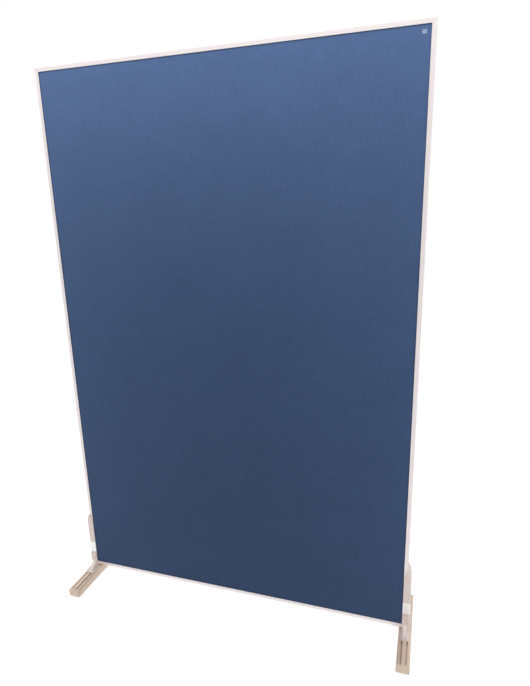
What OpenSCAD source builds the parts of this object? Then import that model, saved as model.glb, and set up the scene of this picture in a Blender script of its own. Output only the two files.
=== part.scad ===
// Free-standing acoustic divider screen. A fabric covered board stands in a slim frame of extruded
// profiles. At each side a cast bracket with a polished collar grips the edge of the frame and is
// bolted to a ribbed bar foot, which stands on two glides that screw in and out to level the screen.
// Millimetres. The origin is on the floor under the middle of the screen, +Z is up, -Y is the front.

/* [Screen] */
// Width of the framed screen, edge to edge
screen_w = 1200; // [800:10:1600]
// Height of the framed screen, without its feet
screen_h = 1800; // [1000:10:2000]
// Height of the frame's underside above the floor
floor_gap = 50; // [49:1:65]

/* [Frame profile] */
// Depth of the profile, front to back
frame_d = 40; // [34:1:60]
// Width of the lip that shows beside the fabric
lip_w = 12; // [10:0.5:16]
// Thickness of the two lips
lip_t = 2; // [1.5:0.1:3]
// Thickness of the outer wall
rim_t = 2; // [1.5:0.1:3]
// Width of the chamber that takes the corner cleats
chamber_w = 3.5; // [3:0.1:4.5]
// Thickness of the web between the chamber and the board's pocket
web_t = 1.5; // [1:0.1:2]
// Radius along the profile's two outer edges
frame_r = 2; // [0.5:0.1:2.5]
// Play in each mitre, measured along the frame
mitre_gap = 0.2; // [0.1:0.05:0.5]
// Length of a corner cleat's legs
cleat_leg = 28; // [15:1:30]
// Play of a cleat in its chamber
cleat_play = 0.15; // [0.05:0.05:0.3]

/* [Board] */
// Play between the board's edge and the bottom of its pocket
board_play = 0.3; // [0.1:0.1:1]
// Play between the fabric and each lip
lip_play = 0.2; // [0.1:0.1:0.5]
// Thickness of the fabric with its thin wadding
fabric_t = 1.2; // [0.8:0.1:2]
// Gap between the wrapped edges of the two covers
cover_gap = 0.6; // [0.2:0.1:2]
// Thickness of the soft facings
facing_t = 5; // [3:0.5:8]
// Width of the board's timber stiles
timber_w = 45; // [35:1:70]
// Width of the board's middle rail
middle_rail_w = 60; // [40:1:90]
// Play round each absorber in its bay
bay_play = 0.3; // [0.1:0.1:2]

/* [Bracket] */
// Thickness of the spine beside the frame
spine_t = 12; // [8:0.5:16]
// Thickness of the two cheeks that grip the frame
cheek_t = 3; // [2:0.5:5]
// Radius of the upright's outer corners
upright_r = 4; // [1:0.5:6]
// Height above the frame's underside at which the upright begins to taper
shoulder_rise = 171; // [150:1:300]
// Length of the tapered tip
tip_l = 47; // [25:1:80]
// Width left at the end of the tip
tip_w = 6; // [2:0.5:10]
// Height of the band's lower edge above the frame's underside
band_rise = 19; // [12:1:30]
// Height of the band
band_h = 29; // [15:1:35]
// How far the band stands proud of the upright
band_proud = 2.5; // [1:0.5:4]
// Distance of the collar above the band
collar_rise = 9; // [2:1:15]
// Height of the collar
collar_h = 42; // [20:1:60]
// Thickness of the collar's outer wall
collar_t = 3; // [2.5:0.1:5]
// Play over and under the collar
collar_play = 0.2; // [0.1:0.1:0.5]
// Length of the saddle on the foot
saddle_l = 130; // [110:1:180]
// Width of the saddle
saddle_w = 34; // [30:1:40]
// Thickness of the saddle
saddle_t = 4.5; // [3:0.5:5]
// Radius of the saddle's corners
saddle_r = 6; // [2:0.5:10]
// Radius of the fillet between the web and the saddle
web_r = 6; // [2:0.5:8]
// Length of the shelf under the frame
shelf_l = 32; // [28:1:50]
// Width of the shelf
shelf_w = 28; // [16:1:34]
// Thickness of the shelf
shelf_t = 6; // [4:0.5:7]
// Radius of the shelf's free corners
shelf_r = 4; // [1:0.5:6]
// Thickness of the gusset under the shelf
gusset_t = 5; // [3:0.5:8]

/* [Foot] */
// Length of the foot with its end caps
foot_l = 320; // [240:5:480]
// Width of the foot's bar
bar_w = 42; // [38:1:60]
// Height of the bar up to its flanges
flange_h = 29; // [24:1:34]
// Radius of the bar's shoulders
shoulder_r = 5; // [2:0.5:6]
// Width of the raised middle rib
rib_w = 13; // [11:0.5:16]
// Height of the rib above the flanges
rib_rise = 2; // [1:0.5:4]
// Radius of the rib's two edges
rib_r = 1.5; // [0.5:0.1:2]
// Width of each groove beside the rib
groove_w = 4; // [2:0.5:5]
// Depth of each groove
groove_d = 6; // [2:0.5:8]
// Wall of the bar
bar_t = 2.2; // [1.6:0.1:3]
// Thickness of an end cap's plate
cap_t = 4; // [2:0.5:6]
// Width of the bevel round an end cap
cap_bevel = 1; // [0.5:0.1:1.5]
// Play of an end cap's plug in the bar
plug_play = 0.2; // [0.1:0.05:0.4]

/* [Glides] */
// Height of the bar's underside above the floor with the glides screwed in
bar_lift = 7; // [6.8:0.1:8]
// Distance of a glide's axis from the end of the foot
glide_inset = 20; // [16:0.5:40]
// Diameter of a glide's pad
pad_d = 22; // [16:0.5:30]
// Height of a glide's pad
pad_h = 3.5; // [3:0.1:3.7]
// Height of the pad's straight rim
pad_rim = 1.4; // [0.8:0.1:2]
// Diameter of the pad's top
pad_top_d = 15; // [12:0.5:16]
// Diameter of the stud's thread
stud_d = 8; // [6:0.5:10]
// Height of the stud above its hexagon
stud_l = 19; // [17:0.5:20]
// Width of the stud's hexagon across its flats
hex_af = 11; // [9:0.5:13]
// Height of the hexagon
hex_h = 3; // [2:0.1:3.1]
// Diameter of the journal that turns in the pad
journal_d = 6; // [4:0.5:7]
// Length of the journal
journal_l = 2.2; // [1:0.1:2.6]
// Running clearance of the stud and its journal, on the radius
run_clear = 0.08; // [0.05:0.01:0.1]
// Play between the pad and the hexagon, and under the journal
axial_play = 0.1; // [0.05:0.05:0.2]
// Side of the square nut in the bar
nut_w = 16; // [12:0.5:20]
// Height of the nut
nut_h = 8; // [6:0.5:10]
// Play between the nut and the end cap's plug
nut_play = 0.3; // [0.1:0.1:0.5]
// How much wider than the stud the hole in the bar is
stud_hole_play = 1; // [0.5:0.1:2]

/* [Screws] */
// Diameter of the side screws
side_screw_d = 4.5; // [3:0.5:6]
// Length of the side screws
side_screw_l = 42; // [30:1:50]
// Diameter of a countersunk head
side_head_d = 9; // [7:0.5:10]
// Diameter of the shelf screws
shelf_screw_d = 4; // [3:0.5:5]
// How far a shelf screw ends short of the board's pocket
shelf_screw_stop = 1; // [0.5:0.1:2]
// Diameter of a shelf screw's head
shelf_head_d = 7.5; // [6:0.5:9]
// Distance of a shelf screw from the shelf's free end
shelf_screw_inset = 10; // [8:0.5:12]
// Diameter of the foot bolts
bolt_d = 6; // [5:0.5:8]
// Height to which a foot bolt reaches into the bracket, from the top of the flanges
bolt_grip = 14; // [8:0.5:18]
// Distance of a foot bolt from the middle of the foot
bolt_y = 31; // [30:0.5:36]
// Diameter of a bolt's head
bolt_head_d = 10.5; // [9:0.5:12]
// Height of a bolt's head
bolt_head_h = 3.5; // [2:0.5:5]
// Width across the flats of every drive socket
socket_af = 3; // [2:0.5:4]
// Depth of every drive socket
socket_depth = 1.8; // [1:0.1:2.4]
// Clearance round a screw in what it holds, on the radius
hold_clear = 0.05; // [0.02:0.01:0.1]
// Clearance round a screw in what it passes through, on the radius
pass_clear = 0.3; // [0.1:0.05:0.5]

/* [Hidden] */
$fn = 48;
hex_sides = 6;
left = -1;
right = 1;
front = -1;
rear = 1;
sides = [left, right];
ends = [front, rear];
// How far a cut runs past the face that it opens
over = 1;

// Frame: places across the profile, from its outer face inwards
edge_x = screen_w / 2;
frame_top = floor_gap + screen_h;
inner_d = frame_d - 2 * lip_t;
pocket_u = rim_t + chamber_w + web_t;

// Board, from its covers inwards
cover_u = pocket_u + board_play;
cover_w = screen_w - 2 * cover_u;
cover_h = screen_h - 2 * cover_u;
cover_z = floor_gap + cover_u;
cover_y = inner_d / 2 - lip_play;
board_w = cover_w - 2 * fabric_t;
board_h = cover_h - 2 * fabric_t;
board_z = cover_z + fabric_t;
board_y = cover_y - fabric_t;
timber_d = 2 * (board_y - facing_t);
bay_w = board_w - 2 * timber_w;
bay_h = (board_h - 2 * timber_w - middle_rail_w) / 2;
lower_bay_z = board_z + timber_w;
middle_rail_z = lower_bay_z + bay_h;
upper_bay_z = middle_rail_z + middle_rail_w;

// Foot: heights above the floor
flange_z = bar_lift + flange_h;
bar_h = flange_h + rib_rise;
chamber_h = flange_h - groove_d - 2 * bar_t;
bar_l = foot_l - 2 * cap_t;
glide_y = foot_l / 2 - glide_inset;
plug_l = glide_inset - cap_t - nut_w / 2 - nut_play;

// Bracket: heights above the floor
saddle_top = flange_z + saddle_t;
band_z = floor_gap + band_rise;
collar_z = band_z + band_h + collar_rise;
shoulder_z = floor_gap + shoulder_rise;
upright_y = frame_d / 2 + cheek_t;
flare_run = saddle_l / 2 - upright_y;
flare_rise = band_z - saddle_top;
flare_r = (pow(flare_run, 2) + pow(flare_rise, 2)) / (2 * flare_rise);
tip_bow = (spine_t - tip_w / 2);
tip_r = (pow(tip_bow, 2) + pow(tip_l, 2)) / (2 * tip_bow);
shelf_z = floor_gap - shelf_t;

// Screws: where their heads lie, as the distance beyond the frame's edge and the height
band_screw = [spine_t + band_proud, band_z + band_h / 2];
collar_screw = [spine_t, collar_z + collar_h / 2];
high_screw = [spine_t, shoulder_z - side_head_d];
screw_places = [band_screw, collar_screw, high_screw];
side_head_h = (side_head_d - side_screw_d) / 2;
shelf_head_h = (shelf_head_d - shelf_screw_d) / 2;
shelf_screw_l = shelf_t + pocket_u - shelf_screw_stop;
shelf_screw_x = edge_x - lip_w - shelf_l + shelf_screw_inset;

// Glides: heights above the floor
hex_z = pad_h + axial_play;
stud_z = hex_z + hex_h;

fabric_colour = "#475b7e";
frame_colour = "#e4dfdb";
bracket_colour = "#d2c6c0";
collar_colour = "#eeeff0";
foot_colour = "#cbbaa8";
cap_colour = "#bfb0a2";
timber_colour = "#d8b98a";
wool_colour = "#b9b09a";
facing_colour = "#c8b592";
steel_colour = "#a9a9ab";
pad_colour = "#d8d4cf";

// A flat shape drawn in X and Z, given a thickness along Y about the middle plane
module along_y(t) rotate([90, 0, 0]) linear_extrude(t, center = true) children();

// A flat shape drawn in Y and Z, given a thickness along X about the middle plane
module along_x(t) rotate([90, 0, 90]) linear_extrude(t, center = true) children();

// A rectangle about the middle with round corners
module round_rect(w, d, r) {
    square([w - 2 * r, d], center = true);
    square([w, d - 2 * r], center = true);
    for (x = [-1, 1], y = [-1, 1]) translate([x * (w / 2 - r), y * (d / 2 - r)]) circle(r);
}

// A countersunk screw that points down from a head at the origin, with a hexagon socket
module countersunk(d, head_d, head_h, length) difference() {
    union() {
        translate([0, 0, -head_h]) cylinder(h = head_h, d1 = d, d2 = head_d);
        translate([0, 0, -length]) cylinder(h = length - head_h, d = d);
    }
    translate([0, 0, -socket_depth])
        cylinder(h = socket_depth + over, d = socket_af / cos(180 / hex_sides), $fn = hex_sides);
}

// The room that a countersunk screw takes, with a clearance all round
module countersunk_room(d, head_d, head_h, length, clear) {
    translate([0, 0, -head_h]) cylinder(h = head_h, d1 = d + 2 * clear, d2 = head_d + 2 * clear);
    cylinder(h = over, d = head_d + 2 * clear);
    translate([0, 0, -length - 2 * over]) cylinder(h = length + 2 * over, d = d + 2 * clear);
}

// What follows at each place of a side screw, with the head up along the outward X
module at_side_screws(side) for (place = screw_places)
    translate([side * (edge_x + place.x), 0, place.y]) rotate([0, side * 90, 0]) children();

// Room for the side screws in one piece beside or inside the frame
module side_screw_room(clear) for (side = sides)
    at_side_screws(side) countersunk_room(side_screw_d, side_head_d, side_head_h, side_screw_l, clear);

// What follows at each shelf screw, with the head down
module at_shelf_screws() for (side = sides)
    translate([side * shelf_screw_x, 0, shelf_z]) rotate([180, 0, 0]) children();

// Section of the frame: the outer face at the left, front and back lips, chamber and pocket
module frame_section() difference() {
    union() {
        translate([frame_r, -frame_d / 2]) square([lip_w - frame_r, frame_d]);
        translate([0, frame_r - frame_d / 2]) square([lip_w, frame_d - 2 * frame_r]);
        for (y = [-1, 1]) translate([frame_r, y * (frame_d / 2 - frame_r)]) circle(frame_r);
    }
    translate([rim_t, -inner_d / 2]) square([chamber_w, inner_d]);
    translate([pocket_u, -inner_d / 2]) square([lip_w, inner_d]);
}

// A length of the frame that stands on the origin, mitred at both ends towards +X
module frame_member(length) intersection() {
    linear_extrude(length) frame_section();
    along_y(frame_d + over) polygon([
        [-over, mitre_gap / 2 - over],
        [lip_w + over, mitre_gap / 2 + lip_w + over],
        [lip_w + over, length - mitre_gap / 2 - lip_w - over],
        [-over, length - mitre_gap / 2 + over]
    ]);
}

// A frame member laid along X with its outer face down
module lying_member() mirror([1, 0, -1]) frame_member(screen_w);

module stile_left() color(frame_colour) difference() {
    translate([-edge_x, 0, floor_gap]) frame_member(screen_h);
    side_screw_room(pass_clear);
}

module stile_right() color(frame_colour) difference() {
    translate([edge_x, 0, floor_gap]) mirror([1, 0, 0]) frame_member(screen_h);
    side_screw_room(pass_clear);
}

module rail_top() color(frame_colour)
    translate([-edge_x, 0, frame_top]) mirror([0, 0, 1]) lying_member();

module rail_bottom() color(frame_colour) difference() {
    translate([-edge_x, 0, floor_gap]) lying_member();
    at_shelf_screws()
        countersunk_room(shelf_screw_d, shelf_head_d, shelf_head_h, shelf_screw_l, hold_clear);
}

// Angle cleats that fill the chambers at the four corners
module corner_cleats() color(steel_colour) {
    inner = chamber_w - 2 * cleat_play;
    for (side = sides, end = [0, 1])
        translate([side * edge_x, 0, end == 0 ? floor_gap : frame_top])
            mirror([side == right ? 1 : 0, 0, 0]) mirror([0, 0, end])
                translate([rim_t + cleat_play, 0, rim_t + cleat_play])
                    along_y(inner_d - 2 * cleat_play) difference() {
                        square(cleat_leg);
                        translate([inner, inner]) square(cleat_leg);
                    }
}

// A timber of the board, given by its left end, its foot and its size
module timber(x, z, w, h) color(timber_colour)
    translate([x, -timber_d / 2, z]) cube([w, timber_d, h]);

module board_stile(side) color(timber_colour) difference() {
    timber(side * (board_w - timber_w) / 2 - timber_w / 2, board_z, timber_w, board_h);
    side_screw_room(hold_clear);
}

module board_rail_top()
    timber(-bay_w / 2, board_z + board_h - timber_w, bay_w, timber_w);

module board_rail_middle() timber(-bay_w / 2, middle_rail_z, bay_w, middle_rail_w);

module board_rail_bottom() timber(-bay_w / 2, board_z, bay_w, timber_w);

// A sound absorber in a bay whose foot is at height z
module absorber(z) color(wool_colour)
    translate([bay_play - bay_w / 2, -timber_d / 2, z + bay_play])
        cube([bay_w - 2 * bay_play, timber_d, bay_h - 2 * bay_play]);

module facing(end) color(facing_colour)
    translate([-board_w / 2, end * (board_y - facing_t / 2) - facing_t / 2, board_z])
        cube([board_w, facing_t, board_h]);

// A cover: the face and the margin wrapped round the edge of the board
module fabric(end) color(fabric_colour) difference() {
    translate([-cover_w / 2, end == front ? -cover_y : cover_gap / 2, cover_z])
        cube([cover_w, cover_y - cover_gap / 2, cover_h]);
    translate([-board_w / 2, end == front ? -board_y : -over, board_z])
        cube([board_w, board_y + over, board_h]);
    side_screw_room(pass_clear);
}

// Outline of the upright from the front, about the edge of the frame
module upright_front() {
    translate([-spine_t, flange_z]) square([2 * spine_t, shoulder_z - flange_z]);
    intersection() {
        translate([-spine_t, shoulder_z]) square([2 * spine_t, tip_l]);
        translate([spine_t - tip_r, shoulder_z]) circle(tip_r, $fn = 2 * $fn);
        translate([tip_r - spine_t, shoulder_z]) circle(tip_r, $fn = 2 * $fn);
    }
}

// Outline of the web from the side: it sweeps from the band down to the ends of the saddle
module web_side() difference() {
    translate([-saddle_l / 2, saddle_top]) square([saddle_l, flare_rise]);
    for (y = [-1, 1])
        translate([y * saddle_l / 2, saddle_top + flare_r]) circle(flare_r, $fn = 2 * $fn);
}

// Outline of the web from the front, with its fillets down to the saddle
module web_front() {
    translate([-rib_w / 2, saddle_top]) square([rib_w, flare_rise]);
    difference() {
        translate([-rib_w / 2 - web_r, saddle_top]) square([rib_w + 2 * web_r, web_r]);
        for (x = [-1, 1]) translate([x * (rib_w / 2 + web_r), saddle_top + web_r]) circle(web_r);
    }
}

// The shelf under the frame with its gusset, drawn from the edge of the frame inwards
module shelf() {
    translate([0, 0, shelf_z]) linear_extrude(shelf_t) {
        translate([-lip_w - shelf_l + shelf_r, -shelf_w / 2]) square([shelf_l, shelf_w]);
        translate([-lip_w - shelf_l, shelf_r - shelf_w / 2]) square([shelf_l, shelf_w - 2 * shelf_r]);
        for (y = [-1, 1])
            translate([shelf_r - lip_w - shelf_l, y * (shelf_w / 2 - shelf_r)]) circle(shelf_r);
    }
    along_y(gusset_t) polygon([
        [-lip_w, saddle_top],
        [-saddle_w / 2, saddle_top],
        [-lip_w - shelf_l / 2, shelf_z],
        [-lip_w, shelf_z]
    ]);
}

// Section of the upright, and of the collar round its waist, before either is hollowed
module upright_section() round_rect(2 * spine_t, 2 * upright_y, upright_r);

// Section of what the collar encloses: the core of the spine and the edge of the frame
module core_section() translate([-2 * spine_t, -frame_d / 2])
    square([3 * spine_t - collar_t, frame_d]);

// Room for the collar round the waist of the upright
module waist_cut() translate([0, 0, collar_z - collar_play])
    linear_extrude(collar_h + 2 * collar_play) difference() {
        square([2 * spine_t + over, 2 * upright_y + over], center = true);
        core_section();
    }

// The bracket at the right, about the edge of the frame
module bracket_form() difference() {
    union() {
        intersection() {
            along_y(2 * upright_y) upright_front();
            linear_extrude(frame_top) upright_section();
        }
        translate([band_proud / 2, 0, band_z]) linear_extrude(band_h)
            round_rect(2 * spine_t + band_proud, 2 * (upright_y + band_proud), upright_r + band_proud);
        intersection() {
            along_x(saddle_w) web_side();
            along_y(saddle_l) web_front();
        }
        translate([0, 0, flange_z]) linear_extrude(saddle_t) round_rect(saddle_w, saddle_l, saddle_r);
        shelf();
    }
    translate([-2 * lip_w, -frame_d / 2, floor_gap]) cube([2 * lip_w, frame_d, screen_h]);
    waist_cut();
    translate([-rib_w / 2 - hold_clear, -saddle_l, flange_z - over])
        cube([rib_w + 2 * hold_clear, 2 * saddle_l, rib_rise + hold_clear + over]);
    for (y = ends) translate([0, y * bolt_y, flange_z - over])
        cylinder(h = bolt_grip + 2 * over, d = bolt_d + 2 * hold_clear);
}

module bracket(side) color(bracket_colour) difference() {
    mirror([side == left ? 1 : 0, 0, 0]) translate([edge_x, 0, 0]) bracket_form();
    side_screw_room(hold_clear);
    at_shelf_screws()
        countersunk_room(shelf_screw_d, shelf_head_d, shelf_head_h, shelf_screw_l, hold_clear);
}

// A collar that sits flush in the bracket's waist and bears on both lips of the frame
module collar(side) color(collar_colour) difference() {
    mirror([side == left ? 1 : 0, 0, 0]) translate([edge_x, 0, collar_z])
        linear_extrude(collar_h) difference() {
            upright_section();
            core_section();
        }
    side_screw_room(hold_clear);
}

module side_screws() color(steel_colour) for (side = sides)
    at_side_screws(side) countersunk(side_screw_d, side_head_d, side_head_h, side_screw_l);

module shelf_screws() color(steel_colour)
    at_shelf_screws() countersunk(shelf_screw_d, shelf_head_d, shelf_head_h, shelf_screw_l);

// Bolts that come up through each foot into its bracket
module foot_bolts() color(steel_colour) for (side = sides, y = ends)
    translate([side * edge_x, y * bolt_y, bar_lift]) difference() {
        union() {
            cylinder(h = flange_h + bolt_grip, d = bolt_d);
            translate([0, 0, -bolt_head_h]) cylinder(h = bolt_head_h, d = bolt_head_d);
        }
        translate([0, 0, -bolt_head_h - over])
            cylinder(h = socket_depth + over, d = socket_af / cos(180 / hex_sides), $fn = hex_sides);
    }

// Outline of the bar without its grooves, drawn in by an inset
module bar_outline(inset) {
    w = bar_w - 2 * inset;
    h = flange_h - inset;
    r = shoulder_r - inset;
    translate([-w / 2, inset]) square([w, h - r - inset]);
    translate([-w / 2 + r, inset]) square([w - 2 * r, h - inset]);
    for (x = [-1, 1]) translate([x * (w / 2 - r), h - r]) circle(r);
    translate([-rib_w / 2 + rib_r + inset, inset]) square([rib_w - 2 * (rib_r + inset), bar_h - 2 * inset]);
    translate([-rib_w / 2 + inset, inset]) square([rib_w - 2 * inset, bar_h - rib_r - 2 * inset]);
    for (x = [-1, 1])
        translate([x * (rib_w / 2 - rib_r - inset), bar_h - rib_r - inset]) circle(rib_r);
}

// Section of the bar: grooves outside, one hollow inside that follows them
module bar_section() difference() {
    bar_outline(0);
    for (x = [-1, 1]) translate([x * (rib_w + groove_w) / 2 - groove_w / 2, flange_h - groove_d])
        square([groove_w, groove_d + over]);
    translate([bar_t - bar_w / 2, bar_t]) square([bar_w - 2 * bar_t, chamber_h]);
    translate([bar_t - rib_w / 2, bar_t]) square([rib_w - 2 * bar_t, bar_h - 2 * bar_t]);
    pod_w = bar_w / 2 - bar_t - (rib_w / 2 + groove_w + bar_t);
    for (x = [-1, 1]) translate([x * (bar_w / 2 - bar_t - pod_w / 2) - pod_w / 2, bar_t])
        square([pod_w, flange_h - 2 * bar_t]);
}

module foot(side) color(foot_colour) translate([side * edge_x, 0, bar_lift]) difference() {
    along_y(bar_l) bar_section();
    for (y = ends) {
        translate([0, y * glide_y, -over])
            cylinder(h = bar_t + 2 * over, d = stud_d + stud_hole_play);
        translate([0, y * bolt_y, -over])
            cylinder(h = bar_h + 2 * over, d = bolt_d + 2 * pass_clear);
    }
}

// An end cap: a bevelled plate over the section and a plug in its lower chamber
module end_cap(side, end) color(cap_colour)
    translate([side * edge_x, end * (foot_l / 2 - cap_t), bar_lift])
        mirror([0, end == front ? 1 : 0, 0]) {
            translate([0, (cap_t - cap_bevel) / 2, 0]) along_y(cap_t - cap_bevel) bar_outline(0);
            translate([0, cap_t - cap_bevel / 2, 0]) along_y(cap_bevel) bar_outline(cap_bevel);
            translate([0, -plug_l / 2, bar_t + plug_play]) along_y(plug_l)
                translate([bar_t + plug_play - bar_w / 2, 0])
                    square([bar_w - 2 * (bar_t + plug_play), chamber_h - 2 * plug_play]);
        }

// Square nuts that lie on the floor of the bar over the glide holes
module glide_nuts() color(steel_colour) for (side = sides, y = ends)
    translate([side * edge_x, y * glide_y, bar_lift + bar_t]) difference() {
        translate([-nut_w / 2, -nut_w / 2, 0]) cube([nut_w, nut_w, nut_h]);
        translate([0, 0, -over]) cylinder(h = nut_h + 2 * over, d = stud_d + 2 * run_clear);
    }

module glide_pad(side, end) color(pad_colour) translate([side * edge_x, end * glide_y, 0]) difference() {
    union() {
        cylinder(h = pad_rim, d = pad_d);
        translate([0, 0, pad_rim]) cylinder(h = pad_h - pad_rim, d1 = pad_d, d2 = pad_top_d);
    }
    translate([0, 0, pad_h - journal_l - axial_play])
        cylinder(h = journal_l + axial_play + over, d = journal_d + 2 * run_clear);
}

module glide_stud(side, end) color(steel_colour) translate([side * edge_x, end * glide_y, 0]) {
    translate([0, 0, pad_h - journal_l]) cylinder(h = journal_l + axial_play, d = journal_d);
    translate([0, 0, hex_z]) cylinder(h = hex_h, d = hex_af / cos(180 / hex_sides), $fn = hex_sides);
    translate([0, 0, stud_z]) cylinder(h = stud_l, d = stud_d);
}

stile_left();
stile_right();
rail_top();
rail_bottom();
corner_cleats();
board_stile(left);  // board_stile_left
board_stile(right);  // board_stile_right
board_rail_top();
board_rail_middle();
board_rail_bottom();
absorber(upper_bay_z);  // absorber_upper
absorber(lower_bay_z);  // absorber_lower
facing(front);  // facing_front
facing(rear);  // facing_back
fabric(front);  // fabric_front
fabric(rear);  // fabric_back
bracket(left);  // bracket_left
bracket(right);  // bracket_right
collar(left);  // collar_left
collar(right);  // collar_right
side_screws();
shelf_screws();
foot_bolts();
foot(left);  // foot_left
foot(right);  // foot_right
end_cap(left, front);  // end_cap_left_front
end_cap(left, rear);  // end_cap_left_rear
end_cap(right, front);  // end_cap_right_front
end_cap(right, rear);  // end_cap_right_rear
glide_nuts();
glide_pad(left, front);  // glide_pad_left_front
glide_pad(left, rear);  // glide_pad_left_rear
glide_pad(right, front);  // glide_pad_right_front
glide_pad(right, rear);  // glide_pad_right_rear
glide_stud(left, front);  // glide_stud_left_front
glide_stud(left, rear);  // glide_stud_left_rear
glide_stud(right, front);  // glide_stud_right_front
glide_stud(right, rear);  // glide_stud_right_rear
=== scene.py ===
"""Looks of a free-standing acoustic divider screen: its cloth covers, finishes, glides and studio.

Laid out as a Blender add-on and run as a script. Lengths are metres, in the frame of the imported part:
the origin is on the floor under the middle of the screen, +Z is up and the front looks along -Y.
"""

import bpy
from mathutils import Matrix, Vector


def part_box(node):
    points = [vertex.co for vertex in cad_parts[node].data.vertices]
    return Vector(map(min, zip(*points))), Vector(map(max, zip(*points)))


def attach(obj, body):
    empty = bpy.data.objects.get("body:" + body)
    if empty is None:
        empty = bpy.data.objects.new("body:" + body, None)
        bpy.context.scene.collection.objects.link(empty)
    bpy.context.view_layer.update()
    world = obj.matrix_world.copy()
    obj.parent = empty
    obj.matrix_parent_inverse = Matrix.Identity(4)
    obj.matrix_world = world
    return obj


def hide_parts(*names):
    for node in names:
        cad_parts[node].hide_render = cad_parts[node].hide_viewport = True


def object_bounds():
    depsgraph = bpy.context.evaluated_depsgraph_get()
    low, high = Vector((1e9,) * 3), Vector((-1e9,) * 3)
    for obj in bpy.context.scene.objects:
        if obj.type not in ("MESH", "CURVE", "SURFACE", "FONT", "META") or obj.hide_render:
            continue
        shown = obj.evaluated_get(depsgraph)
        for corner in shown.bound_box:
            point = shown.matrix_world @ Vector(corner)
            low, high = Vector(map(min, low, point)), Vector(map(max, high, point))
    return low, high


bl_info = {
    "name": "Acoustic divider screen",
    "version": (1, 0, 0),
    "blender": (4, 5, 0),
    "location": "View3D > Sidebar > Divider screen",
    "description": "Cloth covers, metal finishes, levelling glides and studio of a divider screen",
    "category": "Object",
}

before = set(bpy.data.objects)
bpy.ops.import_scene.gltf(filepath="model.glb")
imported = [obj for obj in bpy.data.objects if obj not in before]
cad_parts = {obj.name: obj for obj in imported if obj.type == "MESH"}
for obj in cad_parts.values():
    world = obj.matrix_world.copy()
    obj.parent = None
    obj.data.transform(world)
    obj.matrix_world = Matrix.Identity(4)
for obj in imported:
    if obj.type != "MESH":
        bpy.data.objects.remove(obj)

import math

import bmesh
import bpy
from bpy.props import FloatProperty, FloatVectorProperty, PointerProperty
from mathutils import Matrix, Vector, noise

MM = 0.001
FRONT, REAR = -1, 1
SIDES = ("left", "right")
ENDS = ("front", "rear")
TURN = 2 * math.pi
# Distance between the bands of a Wave texture of scale 1
WAVE_SPACING = TURN / 20
# Long side of the film frame that the camera's lens is given for, in millimetres
FILM_SIDE = 36.0
# Edges of a stud that are bent more than this stay sharp
SHARP = math.radians(35)
# Two places closer than this are the same
HAIR = 0.01 * MM
# Places of a cover's grid lines over the rise of the cloth, as shares of its run
RISE_SHARES = (0.07, 0.18, 0.33, 0.55, 0.8, 1.0)
# Heights of the label's edge at its widest and at its rim, as shares of the label's thickness
EDGE_SHARES = (0.4, 0.85)
# The label over its hem, as shares of the hem's width and of the label's thickness
HEM_SHARES = ((0.4, 1.0), (0.85, 1.0), (1.0, 0.62), (1.8, 0.6))
# The label's flat field, as shares of half its height and of its thickness
FIELD_SHARES = (0.7, 0.6)
# Where the stitches run, as shares of the hem's width and of the label's thickness
SEAM_SHARES = (0.55, 0.7)
# How far a stitch bows out, and its radius where it dips in, as shares of the thread's radius
STITCH_SHARES = (0.3, 0.45)
# What the flats at the thread's root and crest each cut off, as a share of the sharp thread's height
THREAD_FLAT_SHARE = 0.12

CAD_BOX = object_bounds()
BOARD_LOW, BOARD_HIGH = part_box("facing_front")
RAIL_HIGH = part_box("rail_bottom")[1]
TOP_LOW, TOP_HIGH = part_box("rail_top")
STILE_LOW, STILE_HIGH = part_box("stile_right")


def linear(hex_colour):
    """An sRGB hex colour as linear red, green, blue and alpha."""
    shares = [int(hex_colour[i : i + 2], 16) / 255 for i in (1, 3, 5)]
    return [s / 12.92 if s <= 0.04045 else ((s + 0.055) / 1.055) ** 2.4 for s in shares] + [1.0]


def length(name, description, default, low=0.0):
    """A length that a user can change, in metres."""
    return FloatProperty(name=name, description=description, default=default, min=low,
                         unit="LENGTH", precision=5)


def colour(name, description, hex_colour):
    """A colour that a user can change."""
    return FloatVectorProperty(name=name, description=description, default=linear(hex_colour),
                               size=4, subtype="COLOR", min=0.0, max=1.0)


def point(name, description, default):
    """A place that a user can change, in metres."""
    return FloatVectorProperty(name=name, description=description, default=default, subtype="XYZ",
                               unit="LENGTH")


def angle(name, description, degrees):
    """An angle that a user can change."""
    return FloatProperty(name=name, description=description, default=math.radians(degrees),
                         unit="ROTATION")


def power(name, description, watts):
    """A lamp's power that a user can change, in watts."""
    return FloatProperty(name=name, description=description, default=watts, min=0.0, unit="POWER")


class DIVIDER_PG_covers(bpy.types.PropertyGroup):
    """Sizes and colours of the two cloth covers"""

    cloth: length("Cloth", "Thickness of the cloth", 0.9 * MM)
    crown: length("Crown", "How far the thin wadding lifts the cloth inside the lips", 0.8 * MM)
    crown_run: length("Crown run", "Distance from the lip over which the cloth rises", 45 * MM)
    fold_radius: length("Fold radius", "Radius of the cloth round the edge of the board", 1.2 * MM)
    ripple: length("Ripple", "Height of the slow unevenness of the wadding", 0.25 * MM)
    ripple_run: length("Ripple run", "Distance from one rise of the wadding to the next", 180 * MM)
    edge_gap: length("Edge gap", "Gap from a cover's edge to the middle of the board", 0.3 * MM)
    grid: length("Grid", "Spacing of a cover's grid lines away from its edges", 40 * MM, 10 * MM)
    thread: length("Thread spacing", "Spacing of the threads as drawn", 1.6 * MM, 0.1 * MM)
    warp: colour("Warp", "Colour of the upright threads", "#455b81")
    weft: colour("Weft", "Colour of the level threads", "#3d5172")
    fuzz: colour("Fuzz", "Colour of the loose fibres at a grazing view", "#93a4c8")


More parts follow.
